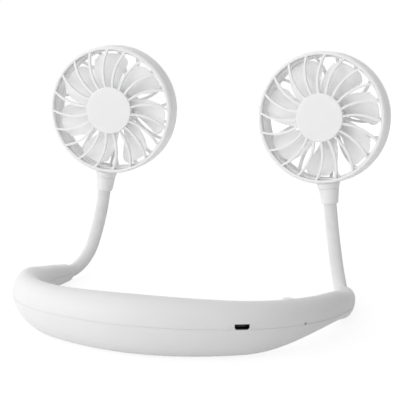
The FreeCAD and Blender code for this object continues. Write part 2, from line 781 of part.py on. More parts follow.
def indicator():
    """A charge light on the board and the lens that shows it at the parting line."""
    station = Station(BACK_RUN + LED_RUN)
    start, out = lens_axis()
    half = section_sizes(station.share)[0]
    lens = cylinder(LENS_RADIUS, start + out * SLIP_GAP, out, half - BOARD_WIDTH / 2 - SLIP_GAP)
    rim = [edge for edge in lens.Edges if edge.Curve.TypeId == "Part::GeomCircle"]
    rim.sort(key=lambda edge: edge.CenterOfMass.sub(start).dot(out))
    lens = lens.makeFillet(LENS_RADIUS * LIP_SHARE, rim[-1:])
    sizes = (LED_WIDTH, LED_DEPTH, LED_HEIGHT)
    chip = block(station.at(-BOARD_WIDTH / 2, 0), station.along, inward_of(station), Z_AXIS, sizes,
                 (-LED_WIDTH / 2, 0, 0))
    return {"indicator_lens": lens, "indicator_led": chip}


def power_button():
    """Button, the switch on the board below it and the switch's plunger."""
    station, axis = button_frame()
    run = BACK_RUN + BUTTON_RUN
    crown = top_rise(run, BUTTON_OFFSET) + BUTTON_PROUD
    under = top_rise(run, BUTTON_OFFSET + BUTTON_RADIUS + BUTTON_FLANGE, WALL) - SLIP_GAP
    plunger_top = SWITCH_HEIGHT + PLUNGER_HEIGHT
    flange, flange_low = BUTTON_RADIUS + BUTTON_FLANGE, under - BUTTON_FLANGE_THICK
    body = [(0, plunger_top), (STEM_PIN_RADIUS, plunger_top), (STEM_PIN_RADIUS, flange_low),
            (flange, flange_low), (flange, under), (BUTTON_RADIUS, under),
            (BUTTON_RADIUS, crown - BUTTON_DOME), (BUTTON_RADIUS - BUTTON_DOME, crown), (0, crown)]
    button = revolved(body)
    button.translate(axis)
    case = block(axis, station.along, inward_of(station), Z_AXIS, (SWITCH_SIDE, SWITCH_SIDE, SWITCH_HEIGHT),
                 (-SWITCH_SIDE / 2, -SWITCH_SIDE / 2, 0))
    floor = SWITCH_HEIGHT - PLUNGER_DEPTH
    well_floor = axis + Z_AXIS * (floor - BUTTON_TRAVEL - SLIP_GAP)
    well = cylinder(PLUNGER_RADIUS + RUN_GAP, well_floor, Z_AXIS, SWITCH_HEIGHT)
    plunger = cylinder(PLUNGER_RADIUS, axis + Z_AXIS * floor, Z_AXIS, PLUNGER_DEPTH + PLUNGER_HEIGHT)
    return {"power_button": button, "tact_switch": case.cut(well), "tact_plunger": plunger}


def band_leads():
    """The motor leads inside the band, from the circuit board to the two tips."""
    board_top = LEAD_RADIUS
    # each place is a run along the band, an offset towards the neck and a height
    right = [(90.0, 4.2, board_top), (98.0, 4.3, board_top), (108.0, 4.4, board_top), (120.0, 4.0, 0.2),
             (132.0, 2.2, -0.4)]
    left = [(54.0, 4.4, board_top), (49.0, 4.4, 1.4), (42.0, 4.4, 6.2), (32.0, 4.6, 7.4), (16.0, 4.8, 7.6),
            (0.0, 4.8, 7.6), (-16.0, 4.8, 7.6), (-32.0, 4.6, 7.4), (-46.0, 4.5, 6.6), (-62.0, 4.5, 5.0),
            (-78.0, 4.5, 3.2), (-94.0, 4.5, 1.6), (-108.0, 4.4, 0.6), (-120.0, 4.0, 0.0),
            (-132.0, 2.2, -0.4)]
    leads = {}
    for name, places in (("left", left), ("right", right)):
        points = [Station(run).at(offset, rise) for run, offset, rise in places]
        end, direction = NECKS[name].route.place(0)
        points += [end - direction * LEAD_STRAIGHT, end]
        leads[f"{name}_band_lead"] = rounded_route(points).rod(LEAD_RADIUS)
    return leads


# Fan head, in the head frame

REAR_FACE = RIM_DEPTH + REAR_RING_DROP
CUP_FRONT = IMPELLER_FRONT + HUB_CUP_DEPTH + BLADE_INSET
MOTOR_BACK = MOTOR_FRONT + MOTOR_LENGTH
CUP_BACK = MOTOR_BACK + END_CAP_THICK
CUP_RADIUS = MOTOR_RADIUS + SLIP_GAP + CUP_WALL
STEM_FOOT = HEAD_RADIUS + STEM_LENGTH


def swirl_strip(inner, outer, width, swirl, bow, low, high):
    """One curved rib seen from the front, as a wall between two heights."""
    middle = (inner + outer) / 2

    def spot(radius, angle, shift):
        turn = math.radians(angle) + shift / radius
        return Vector(radius * math.sin(turn), radius * math.cos(turn), low)

    sides = [[spot(r, a, sign * width / 2) for r, a in ((inner, 0), (middle, -bow), (outer, swirl))]
             for sign in (-1, 1)]
    outline = [arc_edge(*sides[0]), Part.makeLine(sides[0][2], sides[1][2]), arc_edge(*sides[1][::-1]),
               Part.makeLine(sides[1][0], sides[0][0])]
    return face_of(outline).extrude(Z_AXIS * (high - low))


def dome_band(inner, outer, depth, bow):
    """A bowed disc between two (radius, height) rims, as deep as a rib."""
    first, last = Vector(inner[0], 0, inner[1]), Vector(outer[0], 0, outer[1])
    spots = [first, (first + last) / 2 + Z_AXIS * bow, last]
    drop = Z_AXIS * -depth
    low = [spot + drop for spot in spots[::-1]]
    ends = [Part.makeLine(last, low[0]), Part.makeLine(low[2], first)]
    return face_of([arc_edge(*spots), arc_edge(*low)] + ends).revolve(Vector(), Z_AXIS, 360)


def ring_of(shape, count):
    """Copies of a shape, evenly spaced about the head's axis."""
    copies = []
    for index in range(count):
        copy = shape.copy()
        copy.rotate(Vector(), Z_AXIS, 360.0 * index / count)
        copies.append(copy)
    return copies


def front_grille():
    """Front ring, swirling ribs and the plain hub disc."""
    inner = HEAD_RADIUS - RIM_WALL
    ring = revolved([(inner, -FRONT_SKIRT), (HEAD_RADIUS, -FRONT_SKIRT), (HEAD_RADIUS, -RIM_EDGE),
                     (HEAD_RADIUS - RIM_EDGE, 0), (inner + RIM_EDGE / 2, 0), (inner, -RIM_EDGE / 2)])
    hub_low = HUB_RISE - HUB_THICK
    hub = revolved([(0, hub_low), (HUB_RADIUS - HUB_EDGE, hub_low), (HUB_RADIUS, hub_low + HUB_EDGE),
                    (HUB_RADIUS, HUB_RISE - HUB_EDGE), (HUB_RADIUS - HUB_EDGE, HUB_RISE), (0, HUB_RISE)])
    root, end = HUB_RADIUS - RIB_WIDTH, HEAD_RADIUS - RIM_WALL / 2
    strip = swirl_strip(root, end, RIB_WIDTH, RIB_SWIRL, RIB_BOW, -2 * RIB_DEPTH, 2 * HUB_RISE)
    high, low = (root - RIB_WIDTH, HUB_RISE - HUB_EDGE), (HEAD_RADIUS, -RIM_EDGE / 2)
    rib = strip.common(dome_band(high, low, RIB_DEPTH, DOME_BOW))
    rib.rotate(Vector(), Z_AXIS, -FRONT_RIB_PHASE)
    return fused([ring, hub] + ring_of(rib, FRONT_RIBS))


def head_lead_route():
    """The lead in a head: up the stem, back past the impeller and in to the motor."""
    axis_depth = -RIM_DEPTH / 2
    points = [(FERRULE_LENGTH - SPIGOT_END - STEM_FOOT, axis_depth), (-HEAD_RADIUS, axis_depth),
              (-HEAD_RADIUS + RIM_WALL + 2 * LEAD_RADIUS, -RIM_DEPTH - LEAD_RADIUS),
              (-MOTOR_RADIUS - CUP_WALL - 3 * LEAD_RADIUS, LEAD_RADIUS - MOTOR_BACK),
              (-MOTOR_RADIUS, LEAD_RADIUS - MOTOR_BACK)]
    return rounded_route([Vector(0, y, z) for y, z in points])


def stem_cone():
    """Flared boss under the head, on the stem's axis."""
    top = HEAD_RADIUS - RIM_WALL / 2
    length = STEM_FOOT - top
    return Part.makeCone(STEM_FLARE, STEM_RADIUS, length, Vector(0, -top, -RIM_DEPTH / 2), Y_AXIS * -1)


def rear_shell():
    """Rim, rear grille, motor cup and stem of a fan head."""
    inner = HEAD_RADIUS - RIM_WALL
    lip_out = inner - SLIP_GAP
    lip_in = lip_out - LIP_WALL
    ring_in = HEAD_RADIUS - REAR_RING_WIDTH
    rim = revolved([(HEAD_RADIUS, -FRONT_SKIRT), (HEAD_RADIUS, -RIM_DEPTH),
                    (HEAD_RADIUS - RIM_EDGE, -RIM_DEPTH - RIM_EDGE),
                    (ring_in, -REAR_FACE), (ring_in, -RIM_DEPTH), (inner, -RIM_DEPTH),
                    (inner, -FRONT_SKIRT - 2 * LIP_REACH), (lip_in, -FRONT_SKIRT - LIP_REACH),
                    (lip_in, LIP_REACH - FRONT_SKIRT), (lip_out, LIP_REACH - FRONT_SKIRT),
                    (lip_out, -FRONT_SKIRT)])
    bore = MOTOR_RADIUS + SLIP_GAP
    cup_end = -CUP_BACK - CUP_END
    cup = revolved([(bore, -CUP_FRONT), (CUP_RADIUS, -CUP_FRONT), (CUP_RADIUS, -CUP_BACK),
                    (CUP_RADIUS - RIM_EDGE, cup_end), (0, cup_end), (0, -CUP_BACK), (bore, -CUP_BACK)])
    root, end = CUP_RADIUS - CUP_WALL / 2, ring_in + RIM_EDGE
    strip = swirl_strip(root, end, REAR_RIB_WIDTH, -RIB_SWIRL, -RIB_BOW, -2 * CUP_BACK, 0)
    low = (root - CUP_WALL, REAR_RIB_DEPTH - CUP_BACK - CUP_END / 2)
    high = (ring_in + 2 * RIM_EDGE, REAR_RIB_DEPTH - REAR_FACE + RIM_EDGE)
    rib = strip.common(dome_band(low, high, REAR_RIB_DEPTH, -REAR_DOME_BOW))
    stem = stem_cone()
    reach = FRONT_SKIRT + OVERRUN + STEM_FLARE
    clear_ring = cylinder(HEAD_RADIUS + SLIP_GAP, Vector(0, 0, -FRONT_SKIRT), Z_AXIS, reach)
    stem = stem.cut([clear_ring, cylinder(inner, Vector(0, 0, -RIM_DEPTH), Z_AXIS, reach + RIM_DEPTH)])
    axis_point = Vector(0, -STEM_FOOT, -RIM_DEPTH / 2)
    spigot = cylinder(SPIGOT_RADIUS, axis_point + Y_AXIS * SLIP_GAP, Y_AXIS * -1, SPIGOT_END + SLIP_GAP)
    body = fused([rim, cup, stem, spigot] + ring_of(rib, REAR_RIBS))
    seat_start = axis_point - Y_AXIS * (SPIGOT_END + OVERRUN)
    seat = cylinder(FERRULE_RADIUS + SLIP_GAP, seat_start, Y_AXIS, OVERRUN + FERRULE_LENGTH + SLIP_GAP)
    channel = cylinder(LEAD_RADIUS + LEAD_CHANNEL_GAP, seat_start, Y_AXIS, SPIGOT_END + OVERRUN + STEM_LENGTH)
    lead_way = head_lead_route().rod(LEAD_RADIUS + LEAD_CHANNEL_GAP)
    return body.cut([seat, channel, lead_way])


def neck_socket():
    """Tapered collar that joins the stem and the flexible neck."""
    edge = SOCKET_EDGE
    foot = SOCKET_LENGTH
    bore = SLEEVE_RADIUS + SLIP_GAP
    collar = revolved([(SPIGOT_RADIUS + SLIP_GAP, 0), (STEM_RADIUS - edge / 2, 0), (STEM_RADIUS, edge / 2),
                       (SOCKET_FOOT, foot - edge), (SOCKET_FOOT - edge / 2, foot), (bore, foot),
                       (bore, SPIGOT_END), (SPIGOT_RADIUS + SLIP_GAP, SPIGOT_END)])
    top = Vector(0, -STEM_FOOT, -RIM_DEPTH / 2)
    collar.Placement = Placement(axes_matrix(top, X_AXIS, Z_AXIS, Y_AXIS * -1))
    return collar


def blade_frame(share):
    """Radius, width, outward and sideways directions of a blade at a share of its length."""
    inner, outer = HUB_CUP_RADIUS - HUB_CUP_WALL / 2, IMPELLER_RADIUS + OVERRUN
    radius = inner + (outer - inner) * share
    span_share = ROOT_SPAN_SHARE + (TIP_SPAN_SHARE - ROOT_SPAN_SHARE) * share
    width = radius * math.radians(span_share * 360.0 / BLADE_COUNT)
    turn = math.radians(BLADE_SWEEP * share)
    arm = Vector(math.sin(turn), math.cos(turn), 0)
    return radius, width, arm, Vector(arm.y, -arm.x, 0)


def blade_section(share):
    """A thin cambered section of a blade, square to the radius."""
    radius, width, arm, side = blade_frame(share)
    depth = HUB_CUP_DEPTH - 2 * BLADE_INSET
    middle = arm * radius - Z_AXIS * (IMPELLER_FRONT + HUB_CUP_DEPTH / 2)
    chord = side * width - Z_AXIS * depth
    lift = (side * depth + Z_AXIS * width).normalize()
    bow = lift * (chord.Length * BLADE_CAMBER_SHARE)
    half = lift * (BLADE_THICK / 2)
    front, back = middle - chord / 2, middle + chord / 2
    upper = [front + half, middle + bow + half, back + half]
    lower = [back - half, middle + bow - half, front - half]
    return Part.Wire([arc_edge(*upper), Part.makeLine(upper[2], lower[0]), arc_edge(*lower),
                      Part.makeLine(lower[2], upper[0])])


def corner_cutter(sign):
    """What the rounding takes off a blade's outer corner: a wedge outside a circle in that corner."""
    near, far = (arm * radius + side * (sign * width / 2)
                 for radius, width, arm, side in (blade_frame(share) for share in BLADE_SHARES[1:]))
    along = (far - near).normalize()
    out = Vector(along.y, -along.x, 0) * sign
    base = near - out * TIP_ROUND
    ahead = base.dot(along)
    reach = math.sqrt(ahead ** 2 - base.dot(base) + (IMPELLER_RADIUS - TIP_ROUND) ** 2) - ahead
    centre = base + along * reach - Z_AXIS * CUP_BACK
    tip = Vector(centre.x, centre.y, 0).normalize()
    tip_side, edge_side = tip * IMPELLER_RADIUS, out * IMPELLER_RADIUS
    spots = [centre + spot for spot in (Vector(), tip_side, tip_side + edge_side, edge_side)]
    wedge = face_of(polygon_edges(spots)).extrude(Z_AXIS * CUP_BACK)
    return wedge.cut(cylinder(TIP_ROUND, centre, Z_AXIS, CUP_BACK))


def impeller():
    """Hub cup with its shaft boss and swept, cambered blades with rounded corners."""
    front, wall = -IMPELLER_FRONT, HUB_CUP_WALL
    back = front - HUB_CUP_DEPTH
    boss_end = NOSE_GAP + MOTOR_NOSE - MOTOR_FRONT
    shaft_end = front - SHAFT_COVER
    bore = HUB_CUP_RADIUS - wall
    cup = revolved([(0, front), (bore, front), (HUB_CUP_RADIUS, front - wall), (HUB_CUP_RADIUS, back),
                    (bore, back), (bore, front - wall), (SHAFT_BOSS_RADIUS, front - wall),
                    (SHAFT_BOSS_RADIUS, boss_end), (SHAFT_RADIUS, boss_end), (SHAFT_RADIUS, shaft_end),
                    (0, shaft_end)])
    blade = Part.makeLoft([blade_section(share) for share in BLADE_SHARES], True, False)
    root, high, low = HUB_CUP_RADIUS - wall / 2, front - BLADE_INSET / 2, back + BLADE_INSET / 2
    bound = revolved([(root, high), (IMPELLER_RADIUS, high), (IMPELLER_RADIUS, low), (root, low)])
    blade = blade.common(bound).cut([corner_cutter(-1), corner_cutter(1)])
    return fused([cup] + ring_of(blade, BLADE_COUNT))


def motor():
    """Can, end cap, two bushes, shaft and wound rotor of a small brushed motor."""
    front, back = -MOTOR_FRONT, -MOTOR_BACK
    nose, bore = front + MOTOR_NOSE, MOTOR_RADIUS - MOTOR_WALL
    can = revolved([(BUSH_RADIUS, nose), (MOTOR_NOSE_RADIUS, nose), (MOTOR_NOSE_RADIUS, front), (bore, front),
                    (MOTOR_RADIUS, front - MOTOR_WALL), (MOTOR_RADIUS, back), (bore, back),
                    (bore, front - MOTOR_WALL), (BUSH_RADIUS, front - MOTOR_WALL)])
    cap_back, cap_floor = back - END_CAP_THICK + SLIP_GAP, back - END_CAP_THICK / 2
    cap = revolved([(BUSH_RADIUS, back), (MOTOR_RADIUS, back), (MOTOR_RADIUS, cap_back), (0, cap_back),
                    (0, cap_floor), (BUSH_RADIUS, cap_floor)])
    shaft_bore = SHAFT_RADIUS + RUN_GAP
    bushes = [revolved([(shaft_bore, low), (BUSH_RADIUS, low), (BUSH_RADIUS, high), (shaft_bore, high)])
              for low, high in ((front - MOTOR_WALL, nose), (cap_floor, back))]
    shaft_low = cap_floor + RUN_GAP
    shaft_end = -IMPELLER_FRONT - SHAFT_COVER
    shaft = cylinder(SHAFT_RADIUS, Vector(0, 0, shaft_low), Z_AXIS, shaft_end - shaft_low)
    middle = (front + back) / 2
    rotor = tube(ROTOR_RADIUS, SHAFT_RADIUS, Vector(0, 0, middle - ROTOR_LENGTH / 2), Z_AXIS, ROTOR_LENGTH)
    slot = block(Vector(0, 0, middle), X_AXIS, Y_AXIS, Z_AXIS, (ROTOR_SLOT, ROTOR_RADIUS, 2 * ROTOR_LENGTH),
                 (-ROTOR_SLOT / 2, SHAFT_RADIUS + ROTOR_SLOT, -ROTOR_LENGTH))
    for cutter in ring_of(slot, ROTOR_POLES):
        rotor = rotor.cut(cutter)
    return {"motor_can": can, "motor_end_cap": cap, "motor_bushes": Part.makeCompound(bushes),
            "motor_shaft": shaft, "motor_rotor": rotor}


def head_pieces():
    """Every piece of a fan head, in the head frame."""
    pieces = {"front_grille": front_grille(), "rear_shell": rear_shell(), "neck_socket": neck_socket(),
              "impeller": impeller(), "head_lead": head_lead_route().rod(LEAD_RADIUS)}
    pieces.update(motor())
    return pieces


# The whole fan

def band_frame_pieces():
    """Every piece by name, in the band's frame."""
    pieces = {}
    for make in (band_shells, shell_screws, battery_cells, circuit_board, charging_socket, indicator,
                 power_button, band_leads):
        pieces.update(make())
    for name in SIDES:
        pieces.update(neck_pieces(name))
    for part_name, shape in head_pieces().items():
        for name, neck in NECKS.items():
            placed = shape.copy()
            if part_name == "impeller":
                placed.rotate(Vector(), Z_AXIS, neck.phase)
            placed.Placement = neck.head_placement().multiply(placed.Placement)
            pieces[f"{name}_{part_name}"] = placed
    return pieces


def standing_tilt():
    """How far the band leans forward when its back and its arms stand on a table."""
    arm = Station(BAND_RUN * ARM_SHARE).point.y
    return -math.degrees(math.atan2(BACK_BOTTOM - ARM_BOTTOM, arm))


def standing(pieces):
    """The pieces stood on Z = 0, with the origin under the middle of their box."""
    for shape in pieces.values():
        shape.rotate(Vector(), X_AXIS, standing_tilt())
    box = Part.makeCompound(list(pieces.values())).optimalBoundingBox(True)
    shift = Vector(0, -(box.YMin + box.YMax) / 2, -box.ZMin)
    for shape in pieces.values():
        shape.translate(shift)
    return pieces, shift


def main():
    os.makedirs("parts", exist_ok=True)
    pieces, _ = standing(band_frame_pieces())
    for name, shape in pieces.items():
        solids = shape.Solids
        whole = solids[0] if len(solids) == 1 else Part.makeCompound(solids)
        whole.exportStep(os.path.join("parts", f"{name}.step"))


if __name__ == "__main__":
    main()
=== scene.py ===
"""Looks of an electric neck fan: finishes, soft necks, charging contacts, light and camera."""
import json
import logging
import math
from dataclasses import dataclass
from enum import Enum
from typing import Any, Iterator

import bpy
from mathutils import Matrix, Quaternion, Vector


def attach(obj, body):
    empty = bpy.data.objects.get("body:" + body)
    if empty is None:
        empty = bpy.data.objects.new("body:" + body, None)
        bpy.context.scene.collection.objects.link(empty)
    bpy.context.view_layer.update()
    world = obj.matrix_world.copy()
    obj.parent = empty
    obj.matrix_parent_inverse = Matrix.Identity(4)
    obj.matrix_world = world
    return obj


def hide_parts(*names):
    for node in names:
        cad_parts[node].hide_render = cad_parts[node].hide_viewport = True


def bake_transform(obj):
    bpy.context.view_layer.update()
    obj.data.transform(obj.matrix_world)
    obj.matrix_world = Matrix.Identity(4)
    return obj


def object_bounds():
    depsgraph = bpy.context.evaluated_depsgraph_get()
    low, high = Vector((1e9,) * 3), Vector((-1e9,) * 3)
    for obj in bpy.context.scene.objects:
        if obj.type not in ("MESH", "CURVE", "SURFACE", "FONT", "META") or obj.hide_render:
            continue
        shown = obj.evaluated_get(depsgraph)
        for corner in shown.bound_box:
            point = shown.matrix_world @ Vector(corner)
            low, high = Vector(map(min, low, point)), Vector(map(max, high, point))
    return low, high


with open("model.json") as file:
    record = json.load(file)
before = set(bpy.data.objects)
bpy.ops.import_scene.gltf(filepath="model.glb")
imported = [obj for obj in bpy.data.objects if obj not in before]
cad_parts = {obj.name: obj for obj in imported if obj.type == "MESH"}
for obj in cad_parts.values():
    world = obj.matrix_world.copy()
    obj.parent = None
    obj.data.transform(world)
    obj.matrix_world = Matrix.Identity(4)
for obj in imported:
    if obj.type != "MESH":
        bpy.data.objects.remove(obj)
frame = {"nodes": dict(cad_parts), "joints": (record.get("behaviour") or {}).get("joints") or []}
CAD_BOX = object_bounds()

LOG = logging.getLogger("neck_fan")
MM = 0.001
# Points nearer to each other than this become one.
MERGE_GAP = 1e-6
# Edges that turn more than this stay sharp.
SMOOTH_ANGLE = math.radians(40)
# Faces whose directions agree to this many digits face the same way.
WAY_DIGITS = 3
# Finer layers in the noise of a clouding and of a grain.
CLOUD_DETAIL = 2.0
GRAIN_DETAIL = 3.0
# Numbers of a mix node's colour sockets, whose names stand for other kinds of value too.
MIX_FIRST, MIX_SECOND, MIX_RESULT = 6, 7, 2


class Side(Enum):
    """A side of the fan, as the camera sees it."""

    LEFT = "left"
    RIGHT = "right"


class Half(Enum):
    """A half of a flexible neck: the one at the band and the one at the head."""

    LOWER = "lower"
    UPPER = "upper"


def linear(colour: str) -> tuple[float, float, float, float]:
    """Turns an sRGB hex colour into linear light.

    Args:
        colour: Six hex digits after a hash sign.

    Returns:
        Linear red, green, blue and an alpha of 1.
    """
    shares = [int(colour[i:i + 2], 16) / 255 for i in (1, 3, 5)]
    light = [s / 12.92 if s <= 0.04045 else ((s + 0.055) / 1.055) ** 2.4 for s in shares]
    return light[0], light[1], light[2], 1.0


def add_node(tree: bpy.types.NodeTree, kind: str, settings: dict[str, Any],
             inputs: dict[Any, Any]) -> bpy.types.Node:
    """Adds a shader node with its settings and links.

    Args:
        tree: The node tree that takes the node.
        kind: The node's type.
        settings: Attributes of the node, by name.
        inputs: Values or output sockets for the node's inputs, by name or number.

    Returns:
        The new node.
    """
    node = tree.nodes.new(kind)
    for name, value in settings.items():
        setattr(node, name, value)
    for name, value in inputs.items():
        if isinstance(value, bpy.types.NodeSocket):
            tree.links.new(value, node.inputs[name])
        else:
            node.inputs[name].default_value = value
    return node


class Grain(Enum):
    """How the tool that made a surface marks it: stretch of the pattern along X, Y and Z."""

    EVEN = (1.0, 1.0, 1.0)
    DRAWN = (1.0, 1.0, 0.08)
    TURNED = (0.15, 1.0, 0.15)


@dataclass(frozen=True)
class Finish:
    """A real material and how its surface was made.

    Args:
        name: What the material is.
        colour: Its main sRGB colour.
        shade: The sRGB colour that its faint clouding runs to.
        roughness: Mean roughness.
        roughness_swing: How far the roughness wanders about its mean.
        ior: Index of refraction; a metal keeps the default.
        metallic: 1 for bare metal.
        cloud_mm: Size of the clouding.
        grain_mm: Size of the surface grain.
        grain_depth_mm: Height of the grain.
        grain: The way that the grain runs.
        coat: Weight of a clear top layer.
        transmission: Share of light that passes through.
        scatter: Share of light that enters the material and comes out near by.
        scatter_mm: How far that light wanders.
        specular: Strength of the surface's gloss.
        powder: How dry and flat the surface looks, from 0, smooth, to 1, powdery.
    """

    name: str
    colour: str
    shade: str
    roughness: float
    roughness_swing: float = 0.04
    ior: float = 1.5
    metallic: float = 0.0
    cloud_mm: float = 9.0
    grain_mm: float = 0.7
    grain_depth_mm: float = 0.004
    grain: Grain = Grain.EVEN
    coat: float = 0.0
    transmission: float = 0.0
    scatter: float = 0.0
    scatter_mm: float = 2.0
    specular: float = 0.5
    powder: float = 0.0

    def material(self) -> bpy.types.Material:
        """Builds the finish's material once and gives it out again later.

        Returns:
            The material.
        """
        found = bpy.data.materials.get(self.name)
        if found:
            return found
        made = bpy.data.materials.new(self.name)
        made.use_nodes = True
        made.diffuse_color = linear(self.colour)
        shader = made.node_tree.nodes["Principled BSDF"]
        self.draw_patterns(made.node_tree, shader)
        self.set_constants(shader)
        return made

    def draw_patterns(self, tree: bpy.types.NodeTree, shader: bpy.types.Node) -> None:
        """Draws the clouding in the colour and the roughness, and the grain in the relief.

        Args:
            tree: The material's node tree.
            shader: The shader that shows the patterns.
        """
        place = add_node(tree, "ShaderNodeTexCoord", {}, {}).outputs["Object"]
        cloud = add_node(tree, "ShaderNodeTexNoise", {},
                         {"Vector": place, "Scale": 1 / (self.cloud_mm * MM),
                          "Detail": CLOUD_DETAIL}).outputs["Fac"]
        tone = add_node(tree, "ShaderNodeMix", {"data_type": "RGBA"},
                        {0: cloud, MIX_FIRST: linear(self.colour),
                         MIX_SECOND: linear(self.shade)}).outputs[MIX_RESULT]
        polish = add_node(tree, "ShaderNodeMapRange", {},
                          {"Value": cloud, "To Min": self.roughness - self.roughness_swing,
                           "To Max": self.roughness + self.roughness_swing}).outputs["Result"]
        stretched = add_node(tree, "ShaderNodeMapping", {},
                             {"Vector": place, "Scale": Vector(self.grain.value)}).outputs["Vector"]
        speckle = add_node(tree, "ShaderNodeTexNoise", {},
                           {"Vector": stretched, "Scale": 1 / (self.grain_mm * MM),
                            "Detail": GRAIN_DETAIL}).outputs["Fac"]
        relief = add_node(tree, "ShaderNodeBump", {},
                          {"Height": speckle, "Strength": 1.0,
                           "Distance": self.grain_depth_mm * MM}).outputs["Normal"]
        for socket, source in (("Base Color", tone), ("Normal", relief), ("Roughness", polish)):
            tree.links.new(source, shader.inputs[socket])

    def set_constants(self, shader: bpy.types.Node) -> None:
        """Sets what is the same all over the surface.

        Args:
            shader: The material's shader.
        """
        constants = {"Metallic": self.metallic, "Coat Weight": self.coat,
                     "Transmission Weight": self.transmission, "Specular IOR Level": self.specular,
                     "Diffuse Roughness": self.powder, "Subsurface Weight": self.scatter,
                     "Subsurface Radius": (1.0, 1.0, 1.0), "Subsurface Scale": self.scatter_mm * MM}
        if not self.metallic:
            constants["IOR"] = self.ior
        for socket, value in constants.items():
            shader.inputs[socket].default_value = value

    def dress(self, piece: bpy.types.Object) -> None:
        """Puts the finish on every material slot of a piece.

        Args:
            piece: A CAD node or a modelled piece.
        """
        if not piece.material_slots:
            piece.data.materials.append(None)
        for slot in piece.material_slots:
            slot.material = self.material()


# Injection-moulded ABS out of a spark-eroded tool: satin, soft broad highlights, hardly any tint.
# The tool's real grain is about 0.1 mm; it is drawn coarser so that it shows.
BAND_ABS = Finish("satin_moulded_abs", "#EAEAEA", "#E7E7E7", 0.44, 0.03, 1.53, specular=0.35)
# The heads' ABS is the band's plastic drawn lighter as painted light, so that their thin ribs, which catch
# the light, and their shaded insides stand out bright against the blades.
HEAD_ABS_PAINTED_LIGHT = Finish("moulded_abs_lightened_as_painted_light", "#F5F5F5", "#F2F2F2", 0.38, 0.03, 1.53, scatter=0.35,
                  scatter_mm=2.5, specular=0.45)
# The same plastic from a polished part of the tool: a tighter highlight on the button.
BUTTON_ABS = Finish("polished_abs_button", "#F1F1F1", "#EEEEEE", 0.30, 0.03, 1.53, grain_depth_mm=0.002)
# White ABS in the thick neck sockets, where no light comes through.
SOCKET_ABS = Finish("thick_white_moulded_abs", "#F2F2F2", "#EFEFEF", 0.42, 0.03, 1.53, specular=0.35)
# Natural polypropylene blades: a little waxy, with light coming through their thin sheet.
BLADE_POLYPROPYLENE = Finish("waxy_polypropylene_blades", "#FAFAFA", "#F6F6F6", 0.36, 0.05, 1.49,
                             cloud_mm=14.0, scatter=0.9, scatter_mm=8.0, specular=0.35)
# Extruded silicone rubber: dull, powdery, with faint lines along the tube.
SLEEVE_SILICONE = Finish("extruded_silicone_rubber", "#F1F1F1", "#E9E9E9", 0.62, 0.05, 1.41, cloud_mm=5.0,
                         grain_mm=1.1, grain_depth_mm=0.012, grain=Grain.DRAWN, specular=0.3, powder=1.0)
# Black nickel on the steel strip folded into the charging socket: dark, brushed, with a soft glint.
SOCKET_STEEL = Finish("black_nickel_plated_steel", "#3A3B3D", "#2E2F31", 0.34, 0.06, metallic=1.0,
                      grain_mm=0.4, grain=Grain.DRAWN)
# Glass-filled liquid crystal polymer: deep dull black.
CONTACT_POLYMER = Finish("black_liquid_crystal_polymer", "#101112", "#16181A", 0.55, 0.05, 1.65,
                         grain_mm=0.3)
# Gold flash on the contact strips of spring bronze.
CONTACT_GOLD = Finish("gold_flashed_contacts", "#D4A94E", "#BF9440", 0.25, 0.05, metallic=1.0, grain_mm=0.3)
# Smoked acrylic light pipe: a grey dot until the light behind it is on.
LENS_ACRYLIC = Finish("smoked_acrylic_lens", "#B2B4B6", "#A4A6A8", 0.18, 0.03, 1.49, grain_mm=0.3,
                      grain_depth_mm=0.001, coat=0.3)
# Clear epoxy body of the indicator light.
LED_EPOXY = Finish("clear_epoxy_led", "#EDEBDD", "#E2DFCC", 0.20, 0.04, 1.52, grain_mm=0.2,
                   transmission=0.4)
# Glass-epoxy board under a green solder mask.
BOARD_LAMINATE = Finish("green_masked_glass_epoxy", "#1F6B45", "#185639", 0.32, 0.06, 1.55, cloud_mm=3.0,
                        grain_mm=0.5)
# Heat-shrunk PVC film over the cells: glossy, slightly rippled.
CELL_FILM = Finish("shrunk_pvc_cell_film", "#3C78A8", "#346A98", 0.26, 0.06, 1.53, cloud_mm=6.0,
                   grain_mm=2.0, grain_depth_mm=0.02)
# Nylon of the switch body and the motor's end cap.
SWITCH_NYLON = Finish("black_moulded_nylon", "#1E1F20", "#27292A", 0.48, 0.05, 1.53, grain_mm=0.4)
# Zinc-plated steel: pale grey with a faint milky cloud.
ZINC_STEEL = Finish("zinc_plated_steel", "#B9BCC0", "#A3A7AC", 0.33, 0.08, metallic=1.0, cloud_mm=2.0,
                    grain_mm=0.3)
# Deep-drawn, nickel-plated motor can: faint rings round its side.
CAN_STEEL = Finish("drawn_nickel_plated_steel", "#C6C4BE", "#B2B0AA", 0.24, 0.06, metallic=1.0,
                   grain_mm=0.6, grain=Grain.TURNED)
# Ground shaft steel: fine turned rings.
SHAFT_STEEL = Finish("ground_shaft_steel", "#CDCFD1", "#BFC1C4", 0.16, 0.04, metallic=1.0, grain_mm=0.2,
                     grain=Grain.TURNED)
# Stacked electrical steel with red enamelled wire wound over it.
ROTOR_STEEL = Finish("laminated_wound_rotor", "#8A5A3C", "#6D4A35", 0.38, 0.08, metallic=1.0, cloud_mm=1.2,
                     grain_mm=0.5, grain_depth_mm=0.05, grain=Grain.TURNED)
# Oil-filled sintered bronze: dull, pitted, brown-gold.
BUSH_BRONZE = Finish("sintered_bronze", "#A67C45", "#8C6637", 0.46, 0.06, metallic=1.0, cloud_mm=0.8,
                     grain_mm=0.15)
# Bright tin on the spring wire of the flexible core.
CORE_STEEL = Finish("tinned_spring_wire", "#E4E5E6", "#D8D9DB", 0.30, 0.06, metallic=1.0, grain_mm=0.4,
                    grain=Grain.DRAWN)
# Soft PVC wire sheath.
LEAD_PVC = Finish("soft_pvc_wire_sheath", "#E9E9E8", "#E2E2E1", 0.45, 0.05, 1.54, cloud_mm=2.0,
                  grain_mm=0.5)

